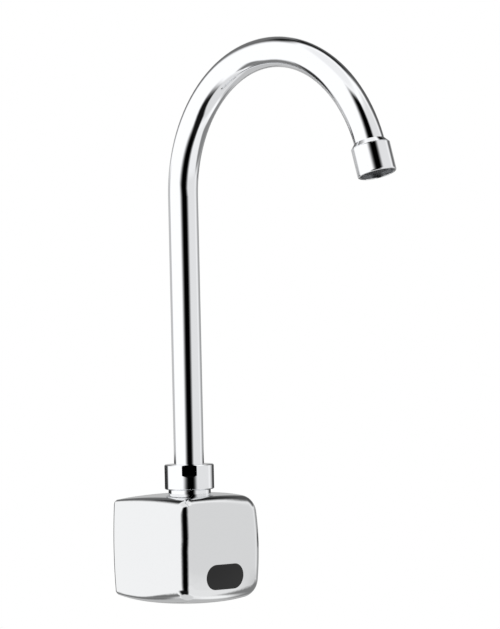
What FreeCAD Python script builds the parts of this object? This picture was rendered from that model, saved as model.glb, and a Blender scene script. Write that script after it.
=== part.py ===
"""Wall-mounted sensor tap: a crowned cube housing, a swivelling gooseneck spout and an aerator.

Millimetres. +Z is up, -Y is the front (away from the wall), +X is to the right of someone who
faces the tap. The origin is on the wall plane, at the centre of the mounting plate.

Water comes in through the threaded port at the back, passes a screen and a check valve, and
waits under a pilot-operated diaphragm. The solenoid lifts its plunger when the window at the
front sees a hand, the diaphragm opens, and water rises through the hub into the spout.
"""

import FreeCAD, Part
import math
import os

V = FreeCAD.Vector
X, Y, Z = V(1, 0, 0), V(0, 1, 0), V(0, 0, 1)

# ---------------------------------------------------------------- driving dimensions
# housing
BODY_HALF_WIDTH = 35.6  # at the crown of the side faces
BODY_TOP = 34.9  # crown of the top face above the origin
BODY_BOTTOM = 35.4  # crown of the underside below the origin
BODY_DEPTH = 69.3  # wall to the crown of the front face
CROWN_TOP = 275.0  # radii of the shallow domes that make the faces
CROWN_BOTTOM = 180.0
CROWN_SIDE = 340.0
CROWN_FRONT = 230.0
EDGE_BACK = 3.0  # edge rounding where the long edges meet the wall
EDGE_FRONT = 12.5  # edge rounding where they reach the front
EDGE_ROLL = 9.0  # rounding all round the front face
WALL = 3.0
SEAL_THICK = 1.2
SEAL_INSET = 0.4  # the foam seal stands this far inside the housing's edge

# sensor window, a stadium low on the front face
WINDOW_LONG = 31.4
WINDOW_HIGH = 16.0
WINDOW_DROP = 17.4
WINDOW_RECESS = 0.2
WINDOW_FLANGE = 2.2
WINDOW_FLANGE_THICK = 1.2
WINDOW_GASKET = 0.6

# mounting plate and what holds the housing to it
PLATE_THICK = 3.0
PLATE_GAP = 0.4
BOLT_SPACING = 44.0
BOLT_HOLE_R = 2.25
LUG_X = 12.0
LUG_WIDE = 8.0
LUG_TOP = -21.0
LUG_UNDERSIDE = -25.4
LUG_REACH = 7.0
SET_SCREW_R = 2.0
SET_SCREW_SUNK = 0.6
SET_SCREW_SOCKET = 2.0

# stem, spout and outlet
STEM_Y = -36.4
TUBE_R = 9.525
TUBE_WALL = 1.2
ARCH_START = 223.5
ARCH_R = 88.5
ARCH_DEG = 162.3
TUBE_TIP = 4.0  # straight end of the tube past the arch
AERATOR_R = 12.15
AERATOR_START = -0.7  # along the outlet axis, from the end of the arch
AERATOR_END = 17.0
ADAPTER_TOP = -4.0
ADAPTER_SLOPE_WIDE = 2.4  # the shoulder's slope, across and along the outlet's axis
ADAPTER_SLOPE_LONG = 2.9

# hub and coupling nut
SPOT_R = 13.6
SPOT_DEPTH = 1.1
PAD_DEPTH = 3.7
HUB_WASHER = 0.6
NECK_R = 13.43
NECK_TOP = 37.3
HUB_THREAD_R = 12.4
HUB_THREAD_TOP = 44.5
HUB_TAIL_R = 9.45
HUB_BORE_R = 6.5
SOCKET_R = 9.0
SOCKET_FLOOR = 38.0
NUT_R = 15.7
NUT_TOP = 53.1
NUT_LIP = 2.0
NUT_CHAMFER = 0.5
FLAT_TOP_HIGH = 6.6  # height of the spanner flats, down from the nut's top
FLAT_HALF_CHORD = 4.75
FLAT_RUN_OUT = 1.3  # height of the slope that the cutter leaves below each flat
FLAT_TURN = 41.6  # the nut stops where it is tight, so its flats face this way from the front
COLLAR_FLANGE_HIGH = 5.7
COLLAR_SOCKET_DEEP = 4.6
GLIDE_THICK = 0.7
O_RING_WIRE = 0.9

# inlet and valve body
INLET_Z = 5.0
INLET_R = 9.32  # tapping bore of the half-inch pipe thread
INLET_DEEP = 12.0
WASHER_SEAT_R = 9.0
WASHER_SEAT_DEEP = 3.0
SCREEN_DEEP = 0.8
BOSS_R = 12.5
BOSS_REACH = 23.5
FLANGE_HALF = 21.0
FLANGE_HIGH = 12.0
FLANGE_THICK = 3.4
FLANGE_SCREW_X = 17.0
FLANGE_SCREW_R = 2.0
SLOT_HALF = 0.4
BLOCK_LEFT = -13.0
BLOCK_FACE = 6.0
BLOCK_BACK = -18.0
BLOCK_FRONT = -49.5
BLOCK_BOTTOM = -7.4
BLOCK_TOP = 18.6
RISER_R = 12.8
TAIL_SEAL = 1.0
TAIL_BORE_FLOOR = 20.6
FEED_WALL = 0.8
FEED_R = 3.6  # drilled way from the check valve to the ring round the seat
RISE_R = 3.2  # drilled way up from the seat
RISE_X = -6.1
CHAMBER_DEEP = 3.2  # below the hub's seat, where the way up opens out

# check valve
CHECK_R = 7.5
CHECK_LONG = 7.2
CHECK_TRAVEL = 2.0
POPPET_R = 5.4
POPPET_STEM_R = 1.2
CHECK_WIRE = 0.25

# diaphragm and solenoid, on an axis along X
POCKET_R = 11.0
POCKET_FLOOR = 3.0
SEAT_R = 5.6
SEAT_BORE_R = 4.0
GROOVE_R = 9.6
GROOVE_FLOOR = -2.0
DIAPHRAGM_THICK = 1.2
DISC_R = 5.0
DISC_THICK = 0.9
PILOT_R = 0.6
BONNET_HALF = 12.2
BONNET_TOP = 10.0
BONNET_RECESS_R = 8.0
BONNET_SCREW_PITCH = 9.2
BONNET_SCREW_R = 1.5
BONNET_SCREW_DEEP = 5.0
CORE_R = 5.0
CORE_WALL = 0.7
CORE_END = 28.6
CORE_STOP = 20.0
PLUNGER_SLIP = 0.08
PLUNGER_END = 17.4
PLUNGER_TRAVEL = 2.0
PLUNGER_WIRE = 0.3
BOBBIN_LONG = 14.6
BOBBIN_R = 10.5
BOBBIN_CHEEK = 1.0
BOBBIN_BARREL = 0.9
WINDING_R = 9.8
YOKE_WALL = 1.0
NUT_AF = 13.0
COIL_NUT_HIGH = 2.4

# sensor electronics
CASE_HALF = 20.0
CASE_TOP = -8.4
CASE_BOTTOM = -27.5
CASE_DEEP = 13.0
CASE_SETBACK = 7.7  # crown of the front face to the case's front
CASE_WALL = 1.4
CASE_CORNER = 1.5
CASE_SCREW_OUT = 4.4  # from the case's side to the screw
CASE_SCREW_R = 1.25
CASE_SCREW_DEEP = 5.0  # thread in the housing's post
CASE_HEAD_HIGH = 1.6
CASE_EAR_THICK = 2.2
CASE_EAR_HALF = 3.5
CASE_EAR_SETBACK = 9.0  # case's front to the back of its ears
LED_R = 2.5
LED_PITCH = 15.0
LED_LONG = 6.6
BOARD_THICK = 1.6

# battery and its tray
BATTERY_WIDE = 36.0
BATTERY_HIGH = 19.5
BATTERY_BACK = -11.5
BATTERY_ROUND = 5.8
CONTACT_GAP = 2.3  # case's back to the battery's end
BATTERY_TOP = -8.3
CONTACT_PITCH = 18.0
CONTACT_WIDE = 5.0
CONTACT_HIGH = 12.0
CONTACT_THICK = 0.3
TRAY_WALL = 1.2
TRAY_GAP = 0.2
TRAY_SHORT = 2.0  # the battery stands this far out of the tray's open end
TRAY_SIDE_HIGH = 13.0
TRAY_END_HIGH = 6.0
TRAY_ARM_HALF = 6.0
TRAY_ARM_HIGH = 4.5
TRAY_SCREW_R = 1.5
TRAY_HEAD_HIGH = 1.6

LEAD_R = 1.2
LEAD_BEND = 5.0
LEAD_X = 17.0
LEAD_EXIT_DEG = 45.0  # below the solenoid's axis, on its front
LEAD_SETBACK = 5.0  # case's front to the lead

SLIP = 0.05  # radial clearance of a turned or threaded fit
GAP = 0.1  # clearance of a moulded or cast fit
RUN_GAP = 0.3  # between turned faces that move past each other without touching
PRESS_GAP = 0.02  # faces that seat on each other

# ---------------------------------------------------------------- sizes worked out from them
ARCH_END_Y = STEM_Y - ARCH_R * (1 - math.cos(math.radians(ARCH_DEG)))
ARCH_END_Z = ARCH_START + ARCH_R * math.sin(math.radians(ARCH_DEG))
ARCH_END = V(0, ARCH_END_Y, ARCH_END_Z)
OUTLET_DIR = V(0, -math.sin(math.radians(ARCH_DEG)), math.cos(math.radians(ARCH_DEG)))
SPOT_Z = BODY_TOP - SPOT_DEPTH
PAD_Z = BODY_TOP - PAD_DEPTH
NECK_BOTTOM = SPOT_Z + HUB_WASHER
COLLAR_FLANGE_Z = HUB_THREAD_TOP + GAP
COLLAR_FLANGE_TOP = COLLAR_FLANGE_Z + COLLAR_FLANGE_HIGH
TUBE_FOOT = COLLAR_FLANGE_TOP - COLLAR_SOCKET_DEEP
NUT_CAVITY_R = HUB_THREAD_R - 0.6
BODY_MID_Y = -BODY_DEPTH / 2
FAR = 2 * BODY_DEPTH  # beyond every face, for cutting boxes
CHECK_START = -INLET_DEEP - WASHER_SEAT_DEEP
CASE_FRONT = -BODY_DEPTH + CASE_SETBACK
CASE_BACK = CASE_FRONT + CASE_DEEP
CASE_EAR_BACK = CASE_FRONT + CASE_EAR_SETBACK
CASE_SCREW_X = CASE_HALF + CASE_SCREW_OUT
BATTERY_FRONT = CASE_BACK + CONTACT_GAP


# ---------------------------------------------------------------- small helpers
def box(x0, x1, y0, y1, z0, z1):
    """Box between two corners, given in either order."""
    lo = V(min(x0, x1), min(y0, y1), min(z0, z1))
    return Part.makeBox(abs(x1 - x0), abs(y1 - y0), abs(z1 - z0), lo)


def rod(radius, start, end):
    """Solid cylinder between two points."""
    along = end - start
    return Part.makeCylinder(radius, along.Length, start, along)


def upright(radius, z0, z1, x=0.0, y=STEM_Y):
    """Cylinder along Z, by default on the stem's axis."""
    return rod(radius, V(x, y, z0), V(x, y, z1))


def side_rod(radius, x0, x1, y=STEM_Y, z=INLET_Z):
    """Cylinder along X, by default on the solenoid's axis."""
    return rod(radius, V(x0, y, z), V(x1, y, z))


def deep_rod(radius, y0, y1, x=0.0, z=INLET_Z):
    """Cylinder along Y, by default on the inlet's axis."""
    return rod(radius, V(x, y0, z), V(x, y1, z))


def turned(profile, base, axis):
    """Solid of revolution. profile is (radius, distance along axis) pairs, and base is the zero point."""
    points = [V(r, 0, s) for r, s in profile]
    face = Part.Face(Part.makePolygon(points + points[:1]))
    solid = face.revolve(V(0, 0, 0), Z, 360)
    solid.Placement = FreeCAD.Placement(base, FreeCAD.Rotation(Z, axis))
    return solid


def stadium(long, high, y0, y1, z):
    """Prism along Y with round ends, centred on x = 0."""
    radius = high / 2
    reach = long / 2 - radius
    middle = box(-reach, reach, y0, y1, z - radius, z + radius)
    ends = [deep_rod(radius, y0, y1, x, z) for x in (-reach, reach)]
    return middle.fuse(ends).removeSplitter()


def spring(radius, wire, turns, start, end):
    """Round-wire compression spring between two points."""
    along = end - start
    height = along.Length - 2 * wire
    helix = Part.makeHelix(height / turns, height, radius)
    ring = Part.Wire(Part.makeCircle(wire, V(radius, 0, 0), Y))
    coil = Part.Wire(helix).makePipeShell([ring], True, True)
    coil.translate(V(0, 0, wire))
    coil.Placement = FreeCAD.Placement(start, FreeCAD.Rotation(Z, along)).multiply(coil.Placement)
    return coil


def put(name, *solids):
    """Write one node. Several solids become one group of separate pieces."""
    shape = solids[0] if len(solids) == 1 else Part.makeCompound(list(solids))
    shape.exportStep("parts/" + name + ".step")


# ---------------------------------------------------------------- housing
def dome(radius, centre, outward):
    """Ball whose seam and poles are turned away from the side that is used as a face."""
    ball = Part.makeSphere(radius)
    ball.Placement = FreeCAD.Placement(centre, FreeCAD.Rotation(V(-1, 0, 0), outward))
    return ball


def along_depth(edge):
    """True for one of the four long edges, which run from the wall to the front."""
    run = edge.Vertexes[-1].Point - edge.Vertexes[0].Point
    return abs(run.y) > 0.8 * run.Length and run.Length > BODY_DEPTH / 2


def front_edge(edge, limit):
    return all(v.Point.y < limit for v in edge.Vertexes)


def crowned_block(inset, back=0.0):
    """The housing's outer form moved inwards by inset: five shallow domes, rounded where they meet."""
    mid = BODY_MID_Y
    domes = [
        dome(CROWN_TOP - inset, V(0, mid, BODY_TOP - CROWN_TOP), Z),
        dome(CROWN_BOTTOM - inset, V(0, mid, CROWN_BOTTOM - BODY_BOTTOM), -Z),
        dome(CROWN_SIDE - inset, V(CROWN_SIDE - BODY_HALF_WIDTH, mid, 0), -X),
        dome(CROWN_SIDE - inset, V(BODY_HALF_WIDTH - CROWN_SIDE, mid, 0), X),
        dome(CROWN_FRONT - inset, V(0, CROWN_FRONT - BODY_DEPTH, 0), -Y),
    ]
    block = box(-FAR, FAR, -FAR, back, -FAR, FAR)
    for ball in domes:
        block = block.common(ball)
    block = block.Solids[0]
    back_r = max(EDGE_BACK - inset, EDGE_BACK / 2)
    front_r = EDGE_FRONT - inset
    for edge in [e for e in block.Edges if along_depth(e)]:
        starts_at_wall = edge.Vertexes[0].Point.y > edge.Vertexes[-1].Point.y
        radii = (back_r, front_r) if starts_at_wall else (front_r, back_r)
        match = [e for e in block.Edges if e.CenterOfMass.distanceToPoint(edge.CenterOfMass) < GAP]
        block = block.makeFillet(radii[0], radii[1], match)
    limit = -BODY_DEPTH + EDGE_ROLL + EDGE_FRONT / 2
    front = [e for e in block.Edges if front_edge(e, limit)]
    return block.makeFillet(EDGE_ROLL - inset, front).Solids[0]


OUTER = crowned_block(0.0, -SEAL_THICK)
CAVITY = crowned_block(WALL)


def set_screw_points():
    y = -PLATE_THICK - LUG_REACH / 2
    return [V(side * LUG_X, y, 0) for side in (-1, 1)]


def housing():
    shell = OUTER.cut(CAVITY)
    pad = upright(SPOT_R, PAD_Z, SPOT_Z).common(OUTER)
    bosses = []
    for p in set_screw_points():
        boss = upright(LUG_REACH / 2 - GAP, -BODY_BOTTOM, LUG_UNDERSIDE - GAP, p.x, p.y)
        bosses.append(boss.common(OUTER))
    for side in (-1, 1):
        post = deep_rod(
            CASE_EAR_HALF - 0.5, -BODY_DEPTH, CASE_EAR_BACK - CASE_EAR_THICK, side * CASE_SCREW_X, -WINDOW_DROP
        )
        bosses.append(post.common(OUTER))
    shell = shell.fuse([pad] + bosses)
    holes = [
        upright(HUB_TAIL_R + 5 * GAP, PAD_Z - 1, BODY_TOP + 1),
        upright(SPOT_R, SPOT_Z, BODY_TOP + 1),
        stadium(WINDOW_LONG, WINDOW_HIGH, -BODY_DEPTH - 1, -BODY_DEPTH / 2, -WINDOW_DROP),
    ]
    for p in set_screw_points():
        holes.append(upright(SET_SCREW_R + SLIP, -BODY_BOTTOM - 1, LUG_UNDERSIDE, p.x, p.y))
    for side in (-1, 1):
        floor = CASE_EAR_BACK - CASE_EAR_THICK - 1.2 * CASE_SCREW_DEEP
        holes.append(
            deep_rod(CASE_SCREW_R + SLIP, floor, -BODY_DEPTH / 2, side * CASE_SCREW_X, -WINDOW_DROP)
        )
    return shell.cut(holes).removeSplitter()


def rim_seal():
    rim = crowned_block(SEAL_INSET).cut(crowned_block(WALL - SEAL_INSET))
    return rim.common(box(-FAR, FAR, -SEAL_THICK, 0, -FAR, FAR))


def wall_plate():
    plate = crowned_block(WALL + PLATE_GAP).common(box(-FAR, FAR, -PLATE_THICK, 0, -FAR, FAR))
    lugs = [
        box(
            p.x - LUG_WIDE / 2,
            p.x + LUG_WIDE / 2,
            -PLATE_THICK - LUG_REACH,
            -PLATE_THICK / 2,
            LUG_UNDERSIDE,
            LUG_TOP,
        )
        for p in set_screw_points()
    ]
    plate = plate.fuse(lugs)
    half = BOLT_SPACING / 2
    holes = [deep_rod(BOLT_HOLE_R, -PLATE_THICK - 1, 1, x, z) for x in (-half, half) for z in (-half, half)]
    holes.append(deep_rod(BOSS_R + 4 * GAP, -PLATE_THICK - 1, 1))
    for side in (-1, 1):
        holes.append(deep_rod(FLANGE_SCREW_R + SLIP, -PLATE_THICK - 1, 1, side * FLANGE_SCREW_X))
    holes.append(deep_rod(TRAY_SCREW_R + SLIP, -PLATE_THICK - 1, 1, 0, tray_arm_z()))
    return plate.cut(holes).removeSplitter()


def set_screws():
    """Two grub screws in the underside that jam the housing against the plate's lugs."""
    screws = []
    for p in set_screw_points():
        drop = (p.x**2 + (p.y - BODY_MID_Y) ** 2) / (2 * CROWN_BOTTOM)
        foot = -BODY_BOTTOM + drop + SET_SCREW_SUNK
        screw = upright(SET_SCREW_R, foot, LUG_UNDERSIDE - PRESS_GAP, p.x, p.y)
        socket = Part.makePolygon(
            [
                V(p.x, p.y, foot) + V(math.cos(a), math.sin(a), 0) * (SET_SCREW_R * 0.55)
                for a in [math.radians(60 * k) for k in range(7)]
            ]
        )
        screws.append(screw.cut(Part.Face(socket).extrude(Z * SET_SCREW_SOCKET)))
    return screws


# ---------------------------------------------------------------- inlet and valve body
def valve_body():
    mid_flange = -PLATE_THICK - GAP
    body = deep_rod(BOSS_R, 0, -BOSS_REACH)
    flange = box(
        -FLANGE_HALF,
        FLANGE_HALF,
        mid_flange - FLANGE_THICK,
        mid_flange,
        INLET_Z - FLANGE_HIGH / 2,
        INLET_Z + FLANGE_HIGH / 2,
    )
    block = box(BLOCK_LEFT, BLOCK_FACE, BLOCK_FRONT, BLOCK_BACK, BLOCK_BOTTOM, BLOCK_TOP)
    block = block.makeFillet(2.0, [e for e in block.Edges if abs(e.CenterOfMass.x - BLOCK_LEFT) < GAP])
    riser = upright(RISER_R, BLOCK_TOP - 1, PAD_Z)
    body = body.fuse([flange, block, riser])
    feed_x = POCKET_FLOOR - FEED_WALL - FEED_R
    chamber_floor = TAIL_BORE_FLOOR - CHAMBER_DEEP
    cuts = [
        deep_rod(INLET_R, 1, -INLET_DEEP),
        deep_rod(WASHER_SEAT_R, 0, CHECK_START),
        deep_rod(CHECK_R + GAP, 0, CHECK_START - CHECK_LONG - GAP),
        deep_rod(FEED_R, 0, STEM_Y + (SEAT_R + GROOVE_R) / 2, feed_x),
        side_rod(POCKET_R, POCKET_FLOOR, BLOCK_FACE + 1),
        side_rod(GROOVE_R, GROOVE_FLOOR, POCKET_FLOOR).cut(side_rod(SEAT_R, GROOVE_FLOOR, POCKET_FLOOR)),
        side_rod(SEAT_BORE_R, RISE_X - 1, POCKET_FLOOR + 1),
        upright(RISE_R, INLET_Z, TAIL_BORE_FLOOR - FEED_WALL, RISE_X),
        upright(HUB_BORE_R, chamber_floor, TAIL_BORE_FLOOR + 1),
        upright(HUB_TAIL_R + SLIP, TAIL_BORE_FLOOR, PAD_Z + 1),
    ]
    for side in (-1, 1):
        cuts.append(
            deep_rod(FLANGE_SCREW_R + SLIP, mid_flange - FLANGE_THICK - 1, 0, side * FLANGE_SCREW_X)
        )
    for dy, dz in bonnet_screw_offsets():
        cuts.append(
            side_rod(
                BONNET_SCREW_R + SLIP,
                BLOCK_FACE - 1.2 * BONNET_SCREW_DEEP,
                BLOCK_FACE + 1,
                STEM_Y + dy,
                INLET_Z + dz,
            )
        )
    return body.cut(cuts).removeSplitter()


def valve_screws():
    head_seat = -PLATE_THICK - GAP - FLANGE_THICK
    screws = []
    for side in (-1, 1):
        x = side * FLANGE_SCREW_X
        shank = deep_rod(FLANGE_SCREW_R, head_seat, -PLATE_THICK / 4, x)
        head = deep_rod(1.8 * FLANGE_SCREW_R, head_seat - 1.2 * FLANGE_SCREW_R, head_seat, x)
        slot = box(
            x - 2 * FLANGE_SCREW_R,
            x + 2 * FLANGE_SCREW_R,
            -FAR,
            head_seat - 0.75 * FLANGE_SCREW_R,
            INLET_Z - SLOT_HALF,
            INLET_Z + SLOT_HALF,
        )
        screws.append(shank.fuse(head).cut(slot).removeSplitter())
    return screws


def inlet_washer():
    """Rubber ring that the supply nipple's end presses on."""
    ring = deep_rod(WASHER_SEAT_R - GAP, CHECK_START + SCREEN_DEEP, -INLET_DEEP - 2 * GAP)
    return ring.cut(deep_rod(CHECK_R - 1.4, CHECK_START, 0))


def inlet_screen():
    """Punched steel disc that keeps grit out of the check valve."""
    disc = deep_rod(WASHER_SEAT_R - GAP, CHECK_START + PRESS_GAP, CHECK_START + SCREEN_DEEP - PRESS_GAP)
    pitch = 1.9
    holes = []
    for i in range(-2, 3):
        for k in range(-2, 3):
            if math.hypot(i, k) * pitch < CHECK_R - 3:
                holes.append(deep_rod(0.6, CHECK_START - 1, 0, i * pitch, INLET_Z + k * pitch))
    return disc.cut(holes)


def check_valve_parts():
    """Cartridge, poppet and spring. Water pushes the poppet towards -Y."""
    base = V(0, CHECK_START - PRESS_GAP, INLET_Z)
    end_wall = 1.1
    bore = CHECK_R - 1.2
    cage = turned([(0, 0), (CHECK_R, 0), (CHECK_R, CHECK_LONG), (0, CHECK_LONG)], base, -Y)
    hollow = turned(
        [(0, end_wall), (bore, end_wall), (bore, CHECK_LONG - end_wall), (0, CHECK_LONG - end_wall)],
        base,
        -Y,
    )
    mouth = deep_rod(POPPET_R - 1.2, base.y + 1, base.y - 2 * end_wall)
    guide = deep_rod(POPPET_STEM_R + SLIP, base.y, base.y - CHECK_LONG - 1)
    cuts = [hollow, mouth, guide]
    window_pitch = (bore + POPPET_STEM_R) / 2 + 0.3
    for k in range(6):
        angle = math.radians(60 * k)
        cuts.append(
            deep_rod(
                1.3,
                base.y - CHECK_LONG - 1,
                base.y - CHECK_LONG / 2,
                window_pitch * math.cos(angle),
                INLET_Z + window_pitch * math.sin(angle),
            )
        )
    cage = cage.cut(cuts)
    head_top = end_wall + SLIP
    head_foot = head_top + 1.2
    poppet = turned(
        [
            (0, head_top),
            (POPPET_R, head_top),
            (POPPET_R, head_foot),
            (POPPET_STEM_R, head_foot),
            (POPPET_STEM_R, CHECK_LONG - 0.2),
            (0, CHECK_LONG - 0.2),
        ],
        base,
        -Y,
    )
    coil = spring(
        2.2,
        CHECK_WIRE,
        4,
        base - Y * (head_foot + PRESS_GAP),
        base - Y * (CHECK_LONG - end_wall - PRESS_GAP),
    )
    return cage, poppet, coil


# ---------------------------------------------------------------- diaphragm and solenoid
def bonnet_screw_offsets():
    pitch = BONNET_SCREW_PITCH
    return [(dy, dz) for dy in (-pitch, pitch) for dz in (-pitch, pitch)]


DIAPHRAGM_TOP = POCKET_FLOOR + DIAPHRAGM_THICK
DISC_TOP = DIAPHRAGM_TOP + PRESS_GAP + DISC_THICK
PLUNGER_SEAT = DISC_TOP
CORE_FLANGE_TOP = BONNET_TOP - 2.0
PLUNGER_R = CORE_R - CORE_WALL - PLUNGER_SLIP


def diaphragm_parts():
    axis_base = V(0, STEM_Y, INLET_Z)
    stem_r = 1.9
    skin = turned(
        [
            (stem_r + SLIP, POCKET_FLOOR + PRESS_GAP),
            (POCKET_R - GAP, POCKET_FLOOR + PRESS_GAP),
            (POCKET_R - GAP, DIAPHRAGM_TOP),
            (stem_r + SLIP, DIAPHRAGM_TOP),
        ],
        axis_base,
        X,
    )
    disc = turned(
        [
            (PILOT_R, POCKET_FLOOR - 2.0),
            (SEAT_BORE_R - 0.6, POCKET_FLOOR - 2.0),
            (SEAT_BORE_R - 0.6, POCKET_FLOOR - PRESS_GAP),
            (stem_r, POCKET_FLOOR - PRESS_GAP),
            (stem_r, DIAPHRAGM_TOP + PRESS_GAP),
            (DISC_R, DIAPHRAGM_TOP + PRESS_GAP),
            (DISC_R, DISC_TOP),
            (PILOT_R, DISC_TOP),
        ],
        axis_base,
        X,
    )
    return skin, disc


def solenoid_bonnet():
    """Square plate that clamps the diaphragm's rim into the pocket and carries the coil."""
    plate = box(
        BLOCK_FACE + PRESS_GAP,
        BONNET_TOP,
        STEM_Y - BONNET_HALF,
        STEM_Y + BONNET_HALF,
        INLET_Z - BONNET_HALF,
        INLET_Z + BONNET_HALF,
    )
    plate = plate.makeFillet(2.5, [e for e in plate.Edges if abs(e.Length - (BONNET_TOP - BLOCK_FACE)) < GAP])
    plug = side_rod(POCKET_R - SLIP, DIAPHRAGM_TOP + PRESS_GAP, BLOCK_FACE + 1)
    cuts = [
        side_rod(BONNET_RECESS_R, DIAPHRAGM_TOP - 1, CORE_FLANGE_TOP),
        side_rod(CORE_R + SLIP, DIAPHRAGM_TOP - 1, BONNET_TOP + 1),
    ]
    for dy, dz in bonnet_screw_offsets():
        cuts.append(side_rod(BONNET_SCREW_R + SLIP, 0, BONNET_TOP + 1, STEM_Y + dy, INLET_Z + dz))
        cuts.append(
            side_rod(
                2 * BONNET_SCREW_R + GAP,
                BONNET_TOP - BONNET_SCREW_R,
                BONNET_TOP + 1,
                STEM_Y + dy,
                INLET_Z + dz,
            )
        )
    return plate.fuse(plug).cut(cuts).removeSplitter()


def bonnet_screws():
    screws = []
    seat = BONNET_TOP - BONNET_SCREW_R
    for dy, dz in bonnet_screw_offsets():
        y, z = STEM_Y + dy, INLET_Z + dz
        shank = side_rod(BONNET_SCREW_R, BLOCK_FACE - BONNET_SCREW_DEEP, seat, y, z)
        head = side_rod(2 * BONNET_SCREW_R - SLIP, seat, BONNET_TOP - PRESS_GAP, y, z)
        reach = 2 * BONNET_SCREW_R
        slot = box(seat + reach / 4, BONNET_TOP + 1, y - reach, y + reach, z - SLOT_HALF, z + SLOT_HALF)
        screws.append(shank.fuse(head).cut(slot).removeSplitter())
    return screws


def core_tube():
    """Stainless tube that the plunger slides in, with its stop at the far end."""
    flange_r = BONNET_RECESS_R - GAP
    bore = CORE_R - CORE_WALL
    return turned(
        [
            (bore, CORE_FLANGE_TOP - 0.9),
            (flange_r, CORE_FLANGE_TOP - 0.9),
            (flange_r, CORE_FLANGE_TOP - PRESS_GAP),
            (CORE_R, CORE_FLANGE_TOP - PRESS_GAP),
            (CORE_R, CORE_END),
            (0, CORE_END),
            (0, CORE_STOP),
            (bore, CORE_STOP),
        ],
        V(0, STEM_Y, INLET_Z),
        X,
    )


def plunger_parts():
    base = V(0, STEM_Y, INLET_Z)
    tip_r = 1.6
    tip_top = PLUNGER_SEAT + 1.4
    nose = PLUNGER_SEAT + 0.3
    well_r = 2.4
    well_floor = PLUNGER_END - 6.0
    body = turned(
        [
            (tip_r + SLIP, nose),
            (PLUNGER_R - 0.6, nose),
            (PLUNGER_R, nose + 0.6),
            (PLUNGER_R, PLUNGER_END),
            (well_r, PLUNGER_END),
            (well_r, well_floor),
            (0, well_floor),
            (0, tip_top + SLIP),
            (tip_r + SLIP, tip_top + SLIP),
        ],
        base,
        X,
    )
    tip = side_rod(tip_r, PLUNGER_SEAT + PRESS_GAP, tip_top)
    coil = spring(
        1.8,
        PLUNGER_WIRE,
        6,
        V(well_floor + PRESS_GAP, STEM_Y, INLET_Z),
        V(CORE_STOP - PRESS_GAP, STEM_Y, INLET_Z),
    )
    return body, tip, coil


BOBBIN_START = BONNET_TOP + 0.2
BOBBIN_END = BOBBIN_START + BOBBIN_LONG
YOKE_R = BOBBIN_R + GAP + YOKE_WALL
YOKE_END = BOBBIN_END + GAP + YOKE_WALL


def coil_bobbin():
    barrel_r = CORE_R + BOBBIN_BARREL
    return turned(
        [
            (CORE_R + SLIP, BOBBIN_START),
            (BOBBIN_R, BOBBIN_START),
            (BOBBIN_R, BOBBIN_START + BOBBIN_CHEEK),
            (barrel_r, BOBBIN_START + BOBBIN_CHEEK),
            (barrel_r, BOBBIN_END - BOBBIN_CHEEK),
            (BOBBIN_R, BOBBIN_END - BOBBIN_CHEEK),
            (BOBBIN_R, BOBBIN_END),
            (CORE_R + SLIP, BOBBIN_END),
        ],
        V(0, STEM_Y, INLET_Z),
        X,
    )


def coil_winding():
    inner = CORE_R + BOBBIN_BARREL + PRESS_GAP
    wound = side_rod(
        WINDING_R, BOBBIN_START + BOBBIN_CHEEK + PRESS_GAP, BOBBIN_END - BOBBIN_CHEEK - PRESS_GAP
    )
    return wound.cut(side_rod(inner, BOBBIN_START, BOBBIN_END))


def solenoid_yoke():
    """Steel can round the coil, closed at the far end."""
    can = side_rod(YOKE_R, BONNET_TOP + PRESS_GAP, YOKE_END)
    can = can.makeFillet(1.2, [e for e in can.Edges if abs(e.CenterOfMass.x - YOKE_END) < GAP])
    inside = side_rod(YOKE_R - YOKE_WALL, BONNET_TOP - 1, YOKE_END - YOKE_WALL)
    start = lead_start()
    exit_hole = deep_rod(LEAD_R + GAP, STEM_Y - YOKE_R - 1, start.y, LEAD_X, start.z)
    return can.cut([inside, side_rod(CORE_R + SLIP, 0, YOKE_END + 1), exit_hole])


def coil_nut():
    """Hexagon nut on the end of the core tube. It holds the coil on."""
    start = YOKE_END + PRESS_GAP
    corner = NUT_AF / math.sqrt(3)
    points = [
        V(start, STEM_Y + corner * math.sin(a), INLET_Z + corner * math.cos(a))
        for a in [math.radians(60 * k) for k in range(7)]
    ]
    hexagon = Part.Face(Part.makePolygon(points)).extrude(X * COIL_NUT_HIGH)
    return hexagon.cut(side_rod(CORE_R + SLIP, 0, start + COIL_NUT_HIGH + 1))


# ---------------------------------------------------------------- hub, nut and spout
def outlet_hub():
    """Nipple that screws down into the valve body, clamps the housing's top and carries the spout."""
    seal_top = TAIL_BORE_FLOOR + TAIL_SEAL + PRESS_GAP
    thread_relief = 0.5
    return turned(
        [
            (HUB_BORE_R, seal_top),
            (HUB_TAIL_R, seal_top),
            (HUB_TAIL_R, NECK_BOTTOM),
            (NECK_R, NECK_BOTTOM),
            (NECK_R, NECK_TOP - 0.4),
            (NECK_R - 0.4, NECK_TOP),
            (HUB_THREAD_R, NECK_TOP),
            (HUB_THREAD_R, HUB_THREAD_TOP - thread_relief),
            (HUB_THREAD_R - thread_relief, HUB_THREAD_TOP),
            (SOCKET_R, HUB_THREAD_TOP),
            (SOCKET_R, SOCKET_FLOOR),
            (HUB_BORE_R, SOCKET_FLOOR),
        ],
        V(0, STEM_Y, 0),
        Z,
    )


def hub_washer():
    washer = upright(NECK_R - 0.5, SPOT_Z + PRESS_GAP, NECK_BOTTOM - PRESS_GAP)
    return washer.cut(upright(HUB_TAIL_R + GAP, SPOT_Z - 1, NECK_BOTTOM + 1))


def hub_tail_seal():
    ring = upright(HUB_TAIL_R - GAP, TAIL_BORE_FLOOR + PRESS_GAP, TAIL_BORE_FLOOR + TAIL_SEAL)
    return ring.cut(upright(HUB_BORE_R, 0, BODY_TOP))


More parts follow.
